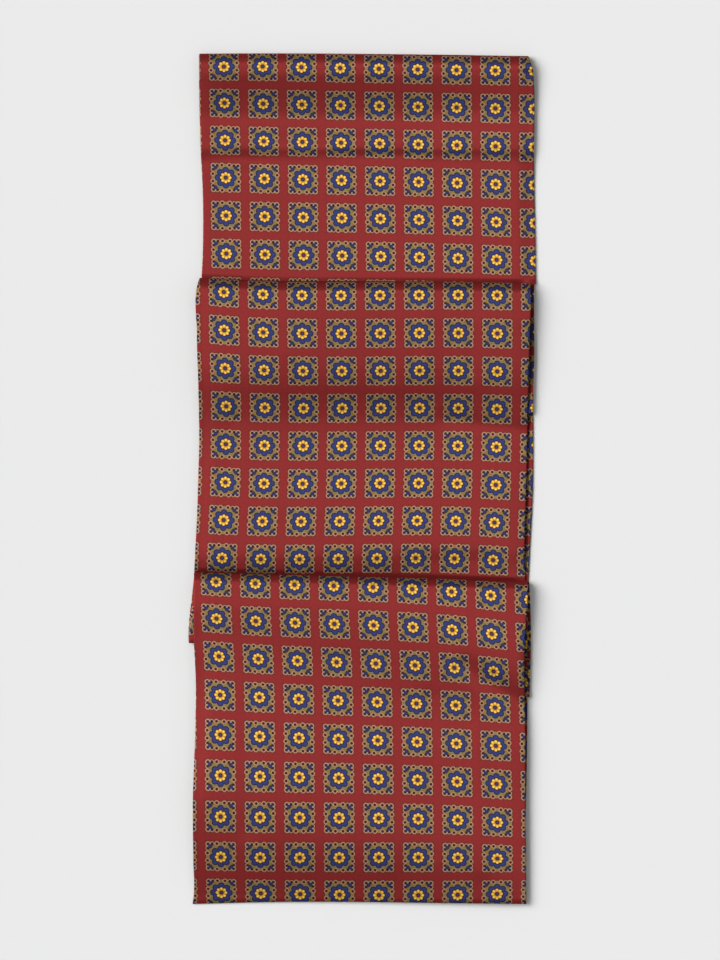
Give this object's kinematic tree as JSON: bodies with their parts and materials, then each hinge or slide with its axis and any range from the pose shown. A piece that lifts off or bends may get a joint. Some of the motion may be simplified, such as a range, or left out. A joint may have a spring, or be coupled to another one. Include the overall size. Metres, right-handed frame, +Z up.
{
  "type": "silk scarf",
  "caption": "Tubular silk scarf with a small medallion print, folded flat in a cascade of stretches with rounded crests, lying on a surface.",
  "frame": {"origin": "centre of the bounding box, on the surface that the folded scarf lies on", "axes": "+Y along the folded scarf towards its top fold, +Z up out of the surface, +X across it"},
  "size_m": [0.3134, 0.7654, 0.0131],
  "materials": {
    "top_silk": "satin",
    "middle_silk": "satin",
    "bottom_silk": "satin",
    "under_silk": "satin"
  },
  "bodies": {
    "root": {"top_panel": "top_silk", "middle_panel": "middle_silk", "bottom_panel": "bottom_silk", "hidden_layers": "under_silk"}
  },
  "joints": []
}
